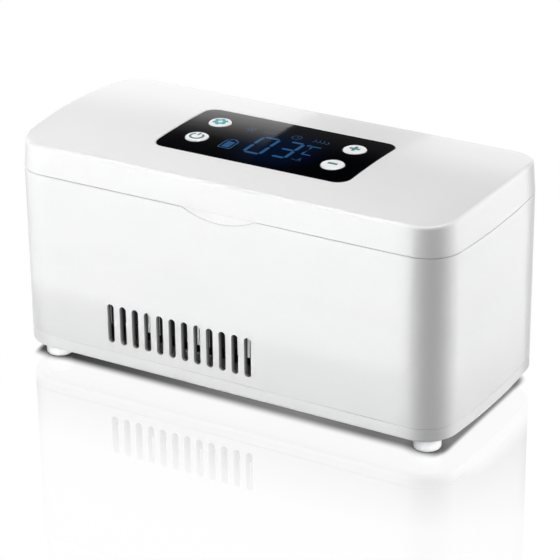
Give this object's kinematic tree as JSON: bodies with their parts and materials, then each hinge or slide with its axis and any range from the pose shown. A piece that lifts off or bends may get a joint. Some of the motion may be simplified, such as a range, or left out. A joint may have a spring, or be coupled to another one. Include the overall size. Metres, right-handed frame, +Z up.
{
  "type": "insulin cooling case",
  "caption": "White box-shaped insulin cooler with a hinged lid, dark display window, round push buttons, vent slots and a metal cold chamber under the lid.",
  "frame": {"origin": "middle of the bounding box's footprint, at the level of the table", "axes": "+X along the case to the right seen from the front, +Y from front to rear, +Z up"},
  "size_m": [0.205, 0.0954, 0.1019],
  "materials": {
    "gloss_white": "gloss",
    "satin_white": "satin",
    "foot_white": "satin",
    "window_black": "gloss",
    "button_white": "satin",
    "seal_grey": "matte",
    "foam_white": "matte",
    "chamber_metal": "satin",
    "fin_metal": "satin",
    "steel": "satin",
    "fan_black": "satin",
    "board_green": "satin",
    "ceramic_white": "matte",
    "cell_blue": "satin",
    "part_black": "satin",
    "lead_red": "satin"
  },
  "bodies": {
    "case": {"housing": "gloss_white", "bottom_cover": "satin_white", "battery_cover": "satin_white", "deck_frame": "satin_white", "foot_front_left": "foot_white", "foot_front_right": "foot_white", "foot_rear_left": "foot_white", "foot_rear_right": "foot_white", "case_screw_front_left": "steel", "case_screw_front_right": "steel", "case_screw_rear_left": "steel", "case_screw_rear_right": "steel", "fan_screw_front_left": "steel", "fan_screw_front_right": "steel", "fan_screw_rear_left": "steel", "fan_screw_rear_right": "steel", "battery_cover_screw": "steel", "clamp_screw_left": "steel", "clamp_screw_right": "steel", "main_board_screw_left": "steel", "main_board_screw_right": "steel", "hinge_pin_left": "steel", "hinge_pin_right": "steel", "deck_magnet": "steel", "foam_jacket": "foam_white", "cold_tray": "chamber_metal", "cold_block": "chamber_metal", "heat_sink": "fin_metal", "fan_frame": "fan_black", "main_board": "board_green", "thermoelectric_module": "ceramic_white", "battery_pack": "cell_blue", "dc_jack": "part_black", "temperature_sensor": "part_black", "fan_lead": "part_black", "module_lead": "lead_red", "battery_lead": "lead_red"},
    "lid": {"lid_shell": "gloss_white", "display_window": "window_black", "lcd_module": "part_black", "control_board": "board_green", "lid_liner": "satin_white", "lid_foam": "foam_white", "lid_gasket": "seal_grey", "lid_magnet": "steel", "lid_screw_front_left": "steel", "lid_screw_front_right": "steel", "lid_screw_rear_left": "steel", "lid_screw_rear_right": "steel", "control_board_screw_left": "steel", "control_board_screw_right": "steel", "tact_switch_settings": "part_black", "tact_switch_power": "part_black", "tact_switch_plus": "part_black", "tact_switch_minus": "part_black"},
    "fan_rotor": {"fan_rotor": "fan_black"},
    "button_settings": {"button_settings": "button_white"},
    "button_power": {"button_power": "button_white"},
    "button_plus": {"button_plus": "button_white"},
    "button_minus": {"button_minus": "button_white"}
  },
  "joints": [
    {"name": "lid_hinge", "type": "hinge", "parent": "case", "child": "lid", "pos_m": [0, 0.04475, 0.0866], "axis": [-1, 0, 0], "range_deg": [0, 105]},
    {"name": "fan_spin", "type": "hinge", "parent": "case", "child": "fan_rotor", "pos_m": [-0.0203, -0.0015, 0.0188], "axis": [0, 0, 1], "continuous": true},
    {"name": "settings_press", "type": "slide", "parent": "lid", "child": "button_settings", "axis": [0, 0, -1], "range_m": [0, 0.0008], "stiffness_N_per_m": 2000},
    {"name": "power_press", "type": "slide", "parent": "lid", "child": "button_power", "axis": [0, 0, -1], "range_m": [0, 0.0008], "stiffness_N_per_m": 2000},
    {"name": "plus_press", "type": "slide", "parent": "lid", "child": "button_plus", "axis": [0, 0, -1], "range_m": [0, 0.0008], "stiffness_N_per_m": 2000},
    {"name": "minus_press", "type": "slide", "parent": "lid", "child": "button_minus", "axis": [0, 0, -1], "range_m": [0, 0.0008], "stiffness_N_per_m": 2000}
  ]
}
